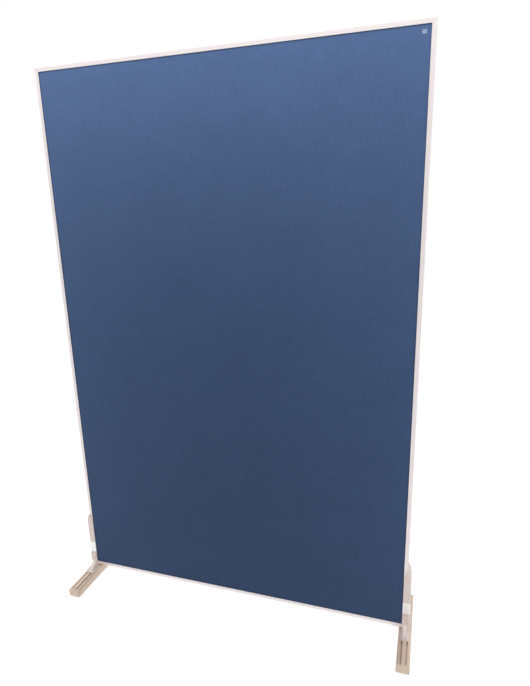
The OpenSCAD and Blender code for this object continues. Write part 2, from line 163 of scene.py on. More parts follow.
class DIVIDER_PG_label(bpy.types.PropertyGroup):
    """Size, place and colour of the blank woven label"""

    width: length("Width", "Width of the label", 12 * MM)
    height: length("Height", "Height of the label", 10.5 * MM)
    thickness: length("Thickness", "Thickness of the label", 0.5 * MM)
    corner: length("Corner", "Radius of the label's corners", 1.5 * MM)
    hem: length("Hem", "Width of the folded and stitched hem", 1.6 * MM)
    stitch: length("Stitch", "Length of a stitch", 1.5 * MM, 0.5 * MM)
    stitch_gap: length("Stitch gap", "Gap between two stitches", 0.7 * MM)
    stitch_radius: length("Stitch radius", "Radius of the sewing thread", 0.28 * MM)
    from_side: length("From the side", "Distance from the screen's edge to the label's middle", 29 * MM)
    from_top: length("From the top", "Distance from the screen's top to the label's middle", 29 * MM)
    satin: colour("Satin", "Colour of the label's satin weave", "#6b7a93")
    hem_thread: colour("Hem thread", "Colour of the label's stitches", "#5c6d8c")


class DIVIDER_PG_finishes(bpy.types.PropertyGroup):
    """Colours of the metal, plastic and board finishes"""

    anodised: colour("Anodised frame", "Silver anodised aluminium", "#eee6e5")
    silver: colour("Silver coat", "Powder coat of the brackets", "#e2d4ce")
    champagne: colour("Champagne coat", "Powder coat of the feet", "#e0cbb8")
    thin_coat: colour("Thin coat", "Powder coat where it thins over an edge", "#efe6dc")
    cap: colour("End caps", "Moulded end caps", "#e4d0bd")
    zinc: colour("Zinc", "Zinc plated steel", "#b4b4b2")
    nylon: colour("Nylon", "Natural nylon of the glide pads", "#dcd8d2")
    polished: colour("Polished collars", "Bright polished aluminium", "#f5f6f6")
    softwood: colour("Softwood", "Planed timber of the board", "#d8b98a")
    latewood: colour("Latewood", "Darker grain of the timber", "#b98f5c")
    felt: colour("Felt", "Pressed polyester felt of the absorbers", "#b9b09a")
    softboard: colour("Softboard", "Soft fibreboard of the facings", "#c8b592")


class DIVIDER_PG_glides(bpy.types.PropertyGroup):
    """Sizes of the levelling glides"""

    pitch: length("Pitch", "Rise of the thread in one turn", 1.25 * MM, 0.2 * MM)
    depth: length("Depth", "Depth of the thread", 0.68 * MM)
    stud: length("Stud", "Diameter of the stud over its thread", 8 * MM)
    journal: length("Journal", "Diameter of the journal that turns in the pad", 6 * MM)
    hexagon: length("Hexagon", "Width of the hexagon across its flats", 11 * MM)
    hexagon_height: length("Hexagon height", "Height of the hexagon", 3 * MM)
    chamfer: length("Chamfer", "Chamfer at the stud's two ends", 0.4 * MM)
    stud_length: length("Stud length", "Length of the stud above the hexagon", 19 * MM)


class DIVIDER_PG_studio(bpy.types.PropertyGroup):
    """Camera, lamps and surroundings"""

    place: point("Camera", "Place of the camera", (0.6125, -1.5004, 1.4035))
    yaw: angle("Yaw", "Turn of the camera from the back wall towards +X", -17.83)
    pitch: angle("Pitch", "Tilt of the camera above the horizon", -14.52)
    roll: angle("Roll", "Lean of the camera about its view", -1.43)
    lens: FloatProperty(name="Lens", description="Focal length for a frame 36 mm on its long side",
                        unit="CAMERA", default=27.01)
    front_lamp: point("Front lamp", "Place of the wide lamp in front", (0.0, -0.45, 2.25))
    front_aim: point("Front aim", "Point that the wide lamp looks at", (0.0, 0.0, 1.8))
    front_power: power("Front power", "Power of the wide lamp in front", 37.0)
    side_lamp: point("Side lamp", "Place of the right side lamp", (1.2, -0.6, 0.9))
    side_aim: point("Side aim", "Point that the right side lamp looks at", (0.3, 0.0, 0.9))
    side_power: power("Side power", "Power of each side lamp", 5.3)
    back_lamp: point("Back lamp", "Place of the lamp behind the screen", (0.0, 1.4, 2.4))
    back_aim: point("Back aim", "Point that the lamp behind looks at", (0.0, 0.0, 1.2))
    back_power: power("Back power", "Power of the lamp behind", 34.0)
    lamp_width: length("Lamp width", "Width of the lamps in front and behind", 4.0)
    lamp_height: length("Lamp height", "Height of the lamps in front and behind", 0.8)
    side_width: length("Side lamp width", "Width of the side lamps", 0.5)
    side_height: length("Side lamp height", "Height of the side lamps", 1.5)
    ambient: FloatProperty(name="Ambient", description="Strength of the light from all round",
                           default=0.18)
    floor_tone: colour("Floor tone", "Colour of the floor without its glow", "#dcdcdc")
    floor_glow: FloatProperty(name="Floor glow", description="Light that the near floor adds to the lamps'",
                              default=0.6)
    floor_reach: length("Floor", "Half the side of the floor", 9.0)
    floor_near: length("Near floor", "Distance from the middle where the floor starts to grow white", 0.9)
    floor_far: length("Far floor", "Distance from the middle where the floor is all white", 2.3)


def add_node(tree, kind, inputs=(), **settings):
    """Adds a node. Settings are its properties; inputs pairs its sockets with values or other sockets."""
    made = tree.nodes.new(kind)
    for name, value in settings.items():
        setattr(made, name, value)
    for name, value in dict(inputs).items():
        if isinstance(value, bpy.types.NodeSocket):
            tree.links.new(value, made.inputs[name])
        else:
            made.inputs[name].default_value = value
    return made


def new_material(name):
    """An empty material, its tree and the place on the piece that its patterns follow."""
    material = bpy.data.materials.new(name)
    material.use_nodes = True
    tree = material.node_tree
    tree.nodes.clear()
    place = add_node(tree, "ShaderNodeTexCoord").outputs["Object"]
    return material, tree, place


def finish_tree(tree, height, depth, strength=1.0, rounded=None, **inputs):
    """Ends a material in one surface with the relief of a height map, depth deep, laid over a rounded
    normal if one is given. The surface's sockets are named with underscores in place of spaces."""
    relief = {"Height": height, "Distance": depth, "Strength": strength}
    if rounded:
        relief["Normal"] = rounded
    sockets = {name.replace("_", " "): value for name, value in inputs.items()}
    sockets["Normal"] = add_node(tree, "ShaderNodeBump", relief).outputs[0]
    surface = add_node(tree, "ShaderNodeBsdfPrincipled", sockets)
    add_node(tree, "ShaderNodeOutputMaterial", {"Surface": surface.outputs[0]})


def speckle(tree, place, size, low, high, detail=2.0):
    """Noise whose blots have the given size along X, Y and Z, as a value from low to high. Along an
    axis of size 0 it doesn't change."""
    spot = add_node(tree, "ShaderNodeMapping",
                    {"Vector": place, "Scale": [1 / s if s else 0.0 for s in size]})
    blots = add_node(tree, "ShaderNodeTexNoise",
                     {"Vector": spot.outputs[0], "Scale": 1.0, "Detail": detail})
    # Most of the noise lies between 0.3 and 0.7.
    return add_node(tree, "ShaderNodeMapRange",
                    {"Value": blots.outputs[0], "From Min": 0.3, "From Max": 0.7,
                     "To Min": low, "To Max": high}).outputs[0]


def mottled(tree, tone, place, size, low, high, detail=2.0):
    """A colour made darker and lighter by speckle, with factors from low to high."""
    factor = speckle(tree, place, size, low, high, detail)
    return add_node(tree, "ShaderNodeMixRGB", {"Fac": 1.0, "Color1": tone, "Color2": factor},
                    blend_type="MULTIPLY").outputs[0]


def woven_polyester(covers):
    """Plain woven polyester, piece dyed: matt, finely ribbed both ways, with paler fuzz at a glance."""
    material, tree, place = new_material("woven polyester cloth")
    # The real cloth has about 10 threads a centimetre. They are drawn coarser, so that they show.
    spacing = covers.thread
    # Y is held in the middle of a check, because the checks change along Y as well.
    flat = add_node(tree, "ShaderNodeMapping",
                    {"Vector": place, "Scale": (1, 0, 1), "Location": (0, spacing / 2, 0)}).outputs[0]
    over = add_node(tree, "ShaderNodeTexChecker", {"Vector": flat, "Scale": 1 / spacing}).outputs["Fac"]
    ridges = [
        add_node(tree, "ShaderNodeTexWave",
                 {"Vector": flat, "Scale": WAVE_SPACING / spacing, "Phase Offset": -TURN / 4},
                 bands_direction=axis).outputs["Fac"]
        for axis in "XZ"
    ]
    height = add_node(tree, "ShaderNodeMixRGB",
                      {"Fac": over, "Color1": ridges[1], "Color2": ridges[0]}).outputs[0]
    # A yarn is thicker and thinner along its length, which draws short faint streaks both ways.
    streak = 55 * MM
    warp = mottled(tree, covers.warp[:], place, (2 * spacing, 0, streak), 0.86, 1.14)
    weft = mottled(tree, covers.weft[:], place, (streak, 0, 2 * spacing), 0.86, 1.14)
    threads = add_node(tree, "ShaderNodeMixRGB", {"Fac": over, "Color1": weft, "Color2": warp}).outputs[0]
    # Painted shade: the low parts of the weave are drawn darker, as shade in the furrows between the
    # threads.
    furrow_shade = add_node(tree, "ShaderNodeMapRange", {"Value": height, "To Min": 0.82}).outputs[0]
    woven = add_node(tree, "ShaderNodeMixRGB", {"Fac": 1.0, "Color1": threads, "Color2": furrow_shade},
                     blend_type="MULTIPLY").outputs[0]
    dye_patch = 140 * MM
    finish_tree(
        tree, height, 0.25 * MM, 0.7,
        Base_Color=mottled(tree, woven, place, [dye_patch] * 3, 0.97, 1.03),
        Roughness=0.9,
        IOR=1.57,
        Specular_IOR_Level=0.2,
        Sheen_Weight=0.2,
        Sheen_Roughness=0.5,
        Sheen_Tint=covers.fuzz[:],
    )
    return material


def satin_ribbon(label):
    """Polyester satin ribbon, woven: smooth with a soft shine and very fine level ribs."""
    material, tree, place = new_material("woven satin label")
    # The real ribs are about 0.2 mm apart. They are drawn coarser, so that they show.
    rib = 0.4 * MM
    ribs = add_node(tree, "ShaderNodeTexWave", {"Vector": place, "Scale": WAVE_SPACING / rib},
                    bands_direction="Z").outputs["Fac"]
    fibre = 3 * MM
    tone = mottled(tree, label.satin[:], place, (fibre, fibre, rib), 0.93, 1.05)
    finish_tree(tree, ribs, 0.04 * MM, 0.6, Base_Color=tone, Roughness=0.5, IOR=1.57)
    return material


def sewing_thread(label):
    """Spun polyester sewing thread: matt, with a slanted twist."""
    material, tree, place = new_material("spun sewing thread")
    ply = 0.3 * MM
    twist = add_node(tree, "ShaderNodeTexWave", {"Vector": place, "Scale": WAVE_SPACING / ply},
                     bands_direction="DIAGONAL").outputs["Fac"]
    # Painted shade: the grooves of the twist are drawn darker, as shade between the plies.
    groove_shade = add_node(tree, "ShaderNodeMapRange", {"Value": twist, "To Min": 0.8}).outputs[0]
    tone = add_node(tree, "ShaderNodeMixRGB",
                    {"Fac": 1.0, "Color1": label.hem_thread[:], "Color2": groove_shade},
                    blend_type="MULTIPLY").outputs[0]
    finish_tree(tree, twist, 0.05 * MM, Base_Color=tone, Roughness=0.7, IOR=1.57)
    return material


def anodised_aluminium(finishes, run):
    """Silver anodised extrusion, etched first: the etched face scatters part of the light, which gives
    an even satin grey with faint die lines along the bar."""
    material, tree, place = new_material(f"satin anodised aluminium along {run}")
    # Die lines are about 0.3 mm apart. They are drawn wider, so that they show.
    line = [1.5 * MM] * 3
    line["XYZ".index(run)] = 600 * MM
    smudge = [70 * MM] * 3
    roughness = add_node(tree, "ShaderNodeMath",
                         {0: speckle(tree, place, line, 0.42, 0.48),
                          1: speckle(tree, place, smudge, -0.02, 0.04)}, operation="ADD").outputs[0]
    finish_tree(
        tree, speckle(tree, place, line, 0.0, 1.0), 0.015 * MM, 0.5,
        Base_Color=mottled(tree, finishes.anodised[:], place, line, 0.97, 1.02),
        Metallic=0.9,
        Roughness=roughness,
    )
    return material


def coated_aluminium(finishes, name, coat, metallic, grain, depth):
    """Aluminium under a powder coat with fine metal flake: soft satin metal, paler where the coat thins
    on edges. The body under the coat shows in its grain."""
    material, tree, place = new_material(name)
    edge_radius, patch, flake, flow = 0.9 * MM, 4 * MM, 0.5 * MM, 25 * MM
    rounded = add_node(tree, "ShaderNodeBevel", {"Radius": edge_radius}, samples=6).outputs[0]
    straight = add_node(tree, "ShaderNodeNewGeometry").outputs["Normal"]
    agree = add_node(tree, "ShaderNodeVectorMath", {0: rounded, 1: straight},
                     operation="DOT_PRODUCT").outputs["Value"]
    edge = add_node(tree, "ShaderNodeMapRange",
                    {"Value": agree, "From Min": 0.995, "From Max": 0.90}).outputs[0]
    thin = add_node(tree, "ShaderNodeMath",
                    {0: edge, 1: speckle(tree, place, [patch] * 3, 0.25, 0.9)},
                    operation="MULTIPLY").outputs[0]
    # The real flake is under 0.05 mm. It is drawn coarser, so that it shows.
    flaked = mottled(tree, coat, place, [flake] * 3, 0.94, 1.05, detail=4.0)
    thick = mottled(tree, flaked, place, [flow] * 3, 0.96, 1.03)
    tone = add_node(tree, "ShaderNodeMixRGB",
                    {"Fac": thin, "Color1": thick, "Color2": finishes.thin_coat[:]}).outputs[0]
    finish_tree(
        tree, speckle(tree, place, grain, 0.0, 1.0), depth, 0.6, rounded,
        Base_Color=tone,
        Metallic=metallic,
        Roughness=speckle(tree, place, grain, 0.46, 0.58),
        Coat_Weight=0.15,
        Coat_Roughness=0.35,
        Coat_IOR=1.5,
    )
    return material


def cast_aluminium(finishes):
    """Pressure die casting: the coat lies over a fine orange peel from the die."""
    peel = 1.6 * MM
    return coated_aluminium(finishes, "powder coated die cast aluminium", finishes.silver[:],
                            metallic=0.75, grain=[peel] * 3, depth=0.05 * MM)


def extruded_aluminium(finishes):
    """Extruded bar: the coat lies over faint lines from the die, which run along the foot."""
    # Die lines are about 0.3 mm apart. They are drawn wider, so that they show.
    line_width, line_length = 1.2 * MM, 300 * MM
    return coated_aluminium(finishes, "powder coated extruded aluminium", finishes.champagne[:],
                            metallic=0.55, grain=[line_width, line_length, line_width], depth=0.02 * MM)


def moulded_abs(finishes):
    """Injection moulded ABS with metal flake: satin champagne, with the fine spark eroded grain of its
    mould."""
    material, tree, place = new_material("moulded ABS end cap")
    # The mould's grain is about 0.1 mm. It is drawn coarser, so that it shows.
    grain = [0.7 * MM] * 3
    flow = 9 * MM
    finish_tree(
        tree, speckle(tree, place, grain, 0.0, 1.0), 0.03 * MM, 0.5,
        Base_Color=mottled(tree, finishes.cap[:], place, [flow] * 3, 0.97, 1.03),
        Metallic=0.35,
        IOR=1.54,
        Roughness=speckle(tree, place, grain, 0.42, 0.55),
    )
    return material


def zinc_plated_steel(finishes):
    """Bright zinc plating on steel: cool grey metal with a faint cloudy bloom."""
    material, tree, place = new_material("zinc plated steel")
    # The plating's pits are under 0.1 mm. They are drawn coarser, so that they show.
    bloom, haze, pit = 5 * MM, 2 * MM, 0.8 * MM
    finish_tree(
        tree, speckle(tree, place, [pit] * 3, 0.0, 1.0), 0.01 * MM, 0.5,
        Base_Color=mottled(tree, finishes.zinc[:], place, [bloom] * 3, 0.9, 1.05, detail=4.0),
        Metallic=1.0,
        Roughness=speckle(tree, place, [haze] * 3, 0.26, 0.42, detail=4.0),
    )
    return material


def polished_aluminium(finishes):
    """Aluminium polished on a wheel and clear anodised, which softens the mirror: it takes on the white
    of the studio, with faint marks from the wheel round the collar."""
    material, tree, place = new_material("polished and anodised aluminium")
    # The wheel's marks are under 0.1 mm high. They are drawn coarser, so that they show.
    mark_length, mark_height, cloud = 40 * MM, 0.7 * MM, 15 * MM
    mark = [mark_length, mark_length, mark_height]
    finish_tree(
        tree, speckle(tree, place, mark, 0.0, 1.0), 0.004 * MM, 0.4,
        Base_Color=mottled(tree, finishes.polished[:], place, mark, 0.97, 1.0),
        Metallic=1.0,
        Roughness=speckle(tree, place, [cloud] * 3, 0.36, 0.42, detail=4.0),
    )
    return material


def moulded_nylon(finishes):
    """Natural nylon 6, injection moulded: milky, a little translucent, with scuffs from the floor."""
    material, tree, place = new_material("moulded natural nylon")
    # The mould's grain is about 0.1 mm. It is drawn coarser, so that it shows.
    cloud, scuff, grain, glow_depth = 6 * MM, 1.5 * MM, 0.9 * MM, 2 * MM
    finish_tree(
        tree, speckle(tree, place, [grain] * 3, 0.0, 1.0), 0.03 * MM, 0.5,
        Base_Color=mottled(tree, finishes.nylon[:], place, [cloud] * 3, 0.94, 1.02, detail=4.0),
        Roughness=speckle(tree, place, [scuff] * 3, 0.4, 0.6),
        IOR=1.53,
        Subsurface_Weight=0.15,
        Subsurface_Radius=[glow_depth] * 3,
        Subsurface_Scale=1.0,
    )
    return material


def planed_softwood(finishes, run):
    """Planed spruce batten: yellow earlywood with darker latewood lines along its length."""
    material, tree, place = new_material(f"planed softwood along {run}")
    # Wood fibres are about 0.03 mm thick. They are drawn as wider streaks, so that they show.
    ring, fibre_width, fibre_length = 4 * MM, 0.8 * MM, 25 * MM
    across = "X" if run == "Z" else "Z"
    rings = add_node(tree, "ShaderNodeTexWave",
                     {"Vector": place, "Scale": WAVE_SPACING / ring, "Distortion": 6.0,
                      "Detail": 2.0, "Detail Scale": 0.02}, bands_direction=across).outputs["Fac"]
    grown = {"Fac": rings, "Color1": finishes.softwood[:], "Color2": finishes.latewood[:]}
    tone = add_node(tree, "ShaderNodeMixRGB", grown).outputs[0]
    fibre = [fibre_width] * 3
    fibre["XYZ".index(run)] = fibre_length
    finish_tree(
        tree, rings, 0.05 * MM, 0.5,
        Base_Color=mottled(tree, tone, place, fibre, 0.93, 1.05),
        Roughness=0.65,
        IOR=1.5,
    )
    return material


def pressed_felt(finishes):
    """Needled polyester felt, pressed: matt and hairy, with fibres of several shades."""
    material, tree, place = new_material("pressed polyester felt")
    # The fibres are about 0.03 mm thick. They are drawn as coarser tufts, so that they show.
    hair = [1.2 * MM] * 3
    finish_tree(
        tree, speckle(tree, place, hair, 0.0, 1.0, detail=6.0), 0.4 * MM, 0.8,
        Base_Color=mottled(tree, finishes.felt[:], place, hair, 0.8, 1.15, detail=6.0),
        Roughness=0.95,
        IOR=1.57,
        Specular_IOR_Level=0.2,
        Sheen_Weight=0.3,
    )
    return material


def soft_fibreboard(finishes):
    """Wood fibre pressed into soft board: matt tan with coarse flat flecks."""
    material, tree, place = new_material("soft fibreboard")
    fleck = [4 * MM, 0.8 * MM, 2 * MM]
    finish_tree(
        tree, speckle(tree, place, fleck, 0.0, 1.0, detail=5.0), 0.15 * MM, 0.7,
        Base_Color=mottled(tree, finishes.softboard[:], place, fleck, 0.82, 1.1, detail=5.0),
        Roughness=0.85,
        IOR=1.5,
    )
    return material


def dress(material, *nodes):
    """Gives CAD nodes a material."""
    for name in nodes:
        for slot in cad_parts[name].material_slots:
            slot.material = material


def new_piece(name, mesh_maker, materials, body):
    """A smooth piece from a bmesh, riding on a body, with the given materials."""
    mesh = bpy.data.meshes.new(name)
    shape = bmesh.new()
    mesh_maker(shape)
    bmesh.ops.recalc_face_normals(shape, faces=shape.faces)
    shape.to_mesh(mesh)
    shape.free()
    for material in materials:
        mesh.materials.append(material)
    mesh.shade_smooth()
    piece = bpy.data.objects.new(name, mesh)
    bpy.context.scene.collection.objects.link(piece)
    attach(piece, body)
    return piece


def settle_modifiers(piece):
    """Turns a piece's modifiers into mesh."""
    graph = bpy.context.evaluated_depsgraph_get()
    settled = bpy.data.meshes.new_from_object(piece.evaluated_get(graph))
    piece.modifiers.clear()
    piece.data = settled


def ease(share):
    """Rises from 0 to 1, fast at first, and stays there."""
    left = 1 - min(max(share, 0.0), 1.0)
    return 1 - left * left


def cloth_rise(covers, end, x, z):
    """How far the wadding lifts a cover's face at a point, over its height at the lips."""
    from_side = STILE_LOW.x - abs(x)
    from_end = min(z - RAIL_HIGH.z, TOP_LOW.z - z)
    inside = ease(from_side / covers.crown_run) * ease(from_end / covers.crown_run)
    wander = noise.noise(Vector((x, end, z)) / covers.ripple_run)
    return inside * (covers.crown + covers.ripple * wander)


def stations(low, high, lip, run, spacing):
    """Places of the grid lines across a cover: at its edges, at the lips, over the rise inside them and
    evenly from there."""
    near = [0.0, lip] + [lip + run * share for share in RISE_SHARES]
    inner_low, inner_high = low + near[-1], high - near[-1]
    count = max(2, round((inner_high - inner_low) / spacing))
    middle = [inner_low + (inner_high - inner_low) * i / count for i in range(1, count)]
    return [low + n for n in near] + middle + [high - n for n in reversed(near)]


def side_of(value, low, high):
    """-1 at the low edge, 1 at the high edge and 0 between them."""
    return (value >= high - HAIR) - (value <= low + HAIR)


def join_rings(shape, ring, row):
    """Joins two rings of as many points by a band of faces, and returns the faces."""
    return [shape.faces.new(corners)
            for corners in zip(ring, ring[1:] + ring[:1], row[1:] + row[:1], row)]


def closed_skin(shape, rings):
    """Joins rings one after the other, closes the first and the last, and returns the faces."""
    faces = [face for ring, row in zip(rings, rings[1:]) for face in join_rings(shape, ring, row)]
    return faces + [shape.faces.new(rings[0][::-1]), shape.faces.new(rings[-1])]


def cover_shape(covers, end):
    """Returns a maker of a cover's outside, which is its face, the fold round the board and the margin,
    and the cover's size when it is laid flat."""
    cloth, radius = covers.cloth, covers.fold_radius
    face_y = end * (abs(BOARD_LOW.y) + cloth)
    # The face ends where the fold begins.
    side_x = BOARD_HIGH.x + cloth - radius
    low_z, high_z = BOARD_LOW.z - cloth + radius, BOARD_HIGH.z + cloth - radius
    xs = stations(-side_x, side_x, side_x - STILE_LOW.x, covers.crown_run, covers.grid)
    zs = stations(low_z, high_z, RAIL_HIGH.z - low_z, covers.crown_run, covers.grid)
    margin = abs(face_y) - radius - covers.edge_gap
    fold_steps, margin_steps = 4, 3
    turns = [TURN / 4 * (i + 1) / fold_steps for i in range(fold_steps)]
    steps = [(radius * math.sin(turn), radius * (1 - math.cos(turn))) for turn in turns]
    steps += [(radius, radius + margin * (i + 1) / margin_steps) for i in range(margin_steps)]

    def make(shape):
        grid = [[shape.verts.new((x, face_y + end * cloth_rise(covers, end, x, z), z)) for x in xs]
                for z in zs]
        for below, above in zip(grid, grid[1:]):
            for i in range(len(xs) - 1):
                shape.faces.new((below[i], below[i + 1], above[i + 1], above[i]))
        ring = (grid[0][:-1] + [row[-1] for row in grid[:-1]]
                + grid[-1][:0:-1] + [row[0] for row in grid[:0:-1]])
        starts = [v.co.copy() for v in ring]
        ways = [Vector((side_of(p.x, -side_x, side_x), 0, side_of(p.z, low_z, high_z))).normalized()
                for p in starts]
        for out, back in steps:
            row = [shape.verts.new(p + way * out - Vector((0, end * back, 0)))
                   for p, way in zip(starts, ways)]
            join_rings(shape, ring, row)
            ring = row

    wrap = TURN / 4 * radius + margin
    return make, (2 * (side_x + wrap), high_z - low_z + 2 * wrap)


class DIVIDER_OT_covers(bpy.types.Operator):
    """Makes the cloth covers of the front and the back, drawn tight over the board"""

    bl_idname = "divider.make_covers"
    bl_label = "Cloth covers"

    def execute(self, context):
        covers = context.scene.divider_covers
        cloth = woven_polyester(covers)
        for end, side in ((FRONT, "front"), (REAR, "back")):
            make, flat = cover_shape(covers, end)
            cover = new_piece(f"cloth_cover_{side}", make, [cloth], "screen")
            doubled = cover.modifiers.new("cloth", "SOLIDIFY")
            doubled.thickness = covers.cloth
            doubled.offset = -1
            doubled.use_even_offset = True
            settle_modifiers(cover)
            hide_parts(f"fabric_{side}")
        return {"FINISHED"}


def label_shape(covers, label):
    """Returns a maker of the label: rings from its rounded outline in to a flat field."""
    middle = Vector((STILE_HIGH.x - label.from_side, 0, TOP_HIGH.z - label.from_top))
    half = Vector((label.width / 2, 0, label.height / 2))
    thick, hem = label.thickness, label.hem
    corner_steps, edge_steps, least_radius = 4, 5, 0.2 * MM
    under_inset, rim_inset, seat = 0.1 * MM, 0.12 * MM, 0.02 * MM

    def outline(inset):
        """Points round the label, drawn in by inset."""
        radius = max(label.corner - inset, least_radius)
        reach = Vector((half.x - inset - radius, 0, half.z - inset - radius))
        corners = [Vector((a * reach.x, 0, b * reach.z)) for a, b in ((1, 1), (-1, 1), (-1, -1), (1, -1))]
        sides = len(corners)
        points = []
        for i, centre in enumerate(corners):
            turns = [TURN / sides * (i + k / corner_steps) for k in range(corner_steps + 1)]
            ways = [radius * Vector((math.cos(turn), 0, math.sin(turn))) for turn in turns]
            last, onward = centre + ways[-1], corners[(i + 1) % sides] + ways[-1]
            points += [centre + way for way in ways]
            points += [last.lerp(onward, k / edge_steps) for k in range(1, edge_steps)]
        return points

    def place(spot, lift):
        """A spot of the label on the cloth, lifted off it."""
        x, z = middle.x + spot.x, middle.z + spot.z
        y = BOARD_LOW.y - covers.cloth - cloth_rise(covers, FRONT, x, z) - lift
        return Vector((x, y, z))

    def make(shape):
        section = [(under_inset, seat), (0.0, thick * EDGE_SHARES[0]), (rim_inset, thick * EDGE_SHARES[1])]
        section += [(hem * across, thick * up) for across, up in HEM_SHARES]
        section.append((half.z * FIELD_SHARES[0], thick * FIELD_SHARES[1]))
        closed_skin(shape, [[shape.verts.new(place(p, lift)) for p in outline(inset)]
                            for inset, lift in section])
        step = label.stitch + label.stitch_gap
        count = int((label.height - 2 * label.corner) // step)
        for side in (-1, 1):
            x = side * (half.x - hem * SEAM_SHARES[0])
            for i in range(count):
                z = (i - (count - 1) / 2) * step
                start, end = [place(Vector((x, 0, z + way * label.stitch / 2)), thick * SEAM_SHARES[1])
                              for way in (-1, 1)]
                sew(shape, start, end, label.stitch_radius)

    return make


def sew(shape, start, end, thread_radius):
    """Adds a stitch: a bowed thread that dips into the cloth at both ends, in the second material."""
    sides, steps = 8, 6
    bow_share, dip_share = STITCH_SHARES
    turns = [TURN * j / sides for j in range(sides)]
    rings = []
    for k in range(steps + 1):
        bow = math.sin(math.pi * k / steps)
        centre = start.lerp(end, k / steps) - Vector((0, bow_share * thread_radius * bow, 0))
        radius = thread_radius * (dip_share + (1 - dip_share) * bow)
        rings.append([shape.verts.new(centre + radius * Vector((math.cos(turn), math.sin(turn), 0)))
                      for turn in turns])
    for face in closed_skin(shape, rings):
        face.material_index = 1


class DIVIDER_OT_label(bpy.types.Operator):
    """Makes the blank woven label, sewn to the front cover near its top right corner"""

    bl_idname = "divider.make_label"
    bl_label = "Woven label"

    def execute(self, context):
        label = context.scene.divider_label
        make = label_shape(context.scene.divider_covers, label)
        piece = new_piece("woven_label", make, [satin_ribbon(label), sewing_thread(label)],
                          "screen")
        return {"FINISHED"}


def stud_shape(glides, low, high):
    """Returns a maker of the stud in a box: journal, chamfered hexagon and right-handed thread, in rows
    round its upright axis."""
    axis = (low + high) / 2
    around, rows_a_turn = 48, 8
    journal, flat, chamfer = glides.journal / 2, glides.hexagon / 2, glides.chamfer
    root = glides.stud / 2 - glides.depth
    thread_z = high.z - glides.stud_length
    hexagon_z = thread_z - glides.hexagon_height
    chamfer_slope = math.tan(math.radians(30))

    def corner(turn):
        """Distance from the axis to the hexagon's side in a direction."""
        return flat / math.cos((turn + TURN / 12) % (TURN / 6) - TURN / 12)

    def thread(turn, z):
        """Radius of the thread at a height. It fades out at the hexagon and at the tip."""
        turns = (z - thread_z) / glides.pitch
        tooth = 1 - abs(2 * ((turns - turn / TURN) % 1) - 1)
        cut = min(max((tooth - THREAD_FLAT_SHARE) / (1 - 2 * THREAD_FLAT_SHARE), 0.0), 1.0)
        fade = max(min(1.0, turns, (high.z - z) / glides.pitch), 0.0)
        return root + glides.depth * cut * fade

    # Each row gives its radius and its height in a direction, from the stud's foot up.
    rows = [
        lambda turn: (journal - chamfer, low.z),
        lambda turn: (journal, low.z + chamfer),
        lambda turn: (journal, hexagon_z),
        lambda turn: (flat, hexagon_z),
        lambda turn: (corner(turn), hexagon_z + (corner(turn) - flat) * chamfer_slope),
        lambda turn: (corner(turn), thread_z - (corner(turn) - flat) * chamfer_slope),
        lambda turn: (flat, thread_z),
        lambda turn: (root, thread_z),
    ]
    steps = round(glides.stud_length / glides.pitch * rows_a_turn)
    for k in range(1, steps):
        z = thread_z + (glides.stud_length - chamfer) * k / steps
        rows.append(lambda turn, z=z: (thread(turn, z), z))
    rows.append(lambda turn: (root - chamfer, high.z))

    def make(shape):
        rings = []
        for row in rows:
            ring = []
            for i in range(around):
                turn = TURN * i / around
                radius, z = row(turn)
                ring.append(shape.verts.new((axis.x + radius * math.cos(turn),
                                             axis.y + radius * math.sin(turn), z)))
            rings.append(ring)
        closed_skin(shape, rings)

    return make


class DIVIDER_OT_glides(bpy.types.Operator):
    """Makes the four threaded glide studs and finishes their pads and nuts"""

    bl_idname = "divider.make_glides"
    bl_label = "Levelling glides"

    def execute(self, context):
        scene = context.scene
        steel = zinc_plated_steel(scene.divider_finishes)
        nylon = moulded_nylon(scene.divider_finishes)
        for side in SIDES:
            for end in ENDS:
                make = stud_shape(scene.divider_glides, *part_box(f"glide_stud_{side}_{end}"))
                stud = new_piece(f"threaded_stud_{side}_{end}", make, [steel],
                                 f"glide_screw_{side}_{end}")
                stud.data.set_sharp_from_angle(angle=SHARP)
                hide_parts(f"glide_stud_{side}_{end}")
                dress(nylon, f"glide_pad_{side}_{end}")
        dress(steel, "glide_nuts")
        return {"FINISHED"}


class DIVIDER_OT_frame(bpy.types.Operator):
    """Finishes the four bars of the edge frame"""

    bl_idname = "divider.finish_frame"
    bl_label = "Edge frame"

    def execute(self, context):
        finishes = context.scene.divider_finishes
        dress(anodised_aluminium(finishes, "Z"), "stile_left", "stile_right")
        dress(anodised_aluminium(finishes, "X"), "rail_top", "rail_bottom")
        return {"FINISHED"}


class DIVIDER_OT_board(bpy.types.Operator):
    """Finishes the board's timbers, absorbers and facings, which the covers hide"""

    bl_idname = "divider.finish_board"
    bl_label = "Board"

    def execute(self, context):
        finishes = context.scene.divider_finishes
        dress(planed_softwood(finishes, "Z"), "board_stile_left", "board_stile_right")
        dress(planed_softwood(finishes, "X"), "board_rail_top", "board_rail_middle", "board_rail_bottom")
        dress(pressed_felt(finishes), "absorber_upper", "absorber_lower")
        dress(soft_fibreboard(finishes), "facing_front", "facing_back")
        return {"FINISHED"}


class DIVIDER_OT_feet(bpy.types.Operator):
    """Finishes the cast brackets, their collars, the bar feet and the feet's end caps"""

    bl_idname = "divider.finish_feet"
    bl_label = "Brackets and feet"

    def execute(self, context):
        finishes = context.scene.divider_finishes
        dress(cast_aluminium(finishes), "bracket_left", "bracket_right")
        dress(polished_aluminium(finishes), "collar_left", "collar_right")
        dress(extruded_aluminium(finishes), "foot_left", "foot_right")
        dress(moulded_abs(finishes), *[f"end_cap_{side}_{end}" for side in SIDES for end in ENDS])
        return {"FINISHED"}


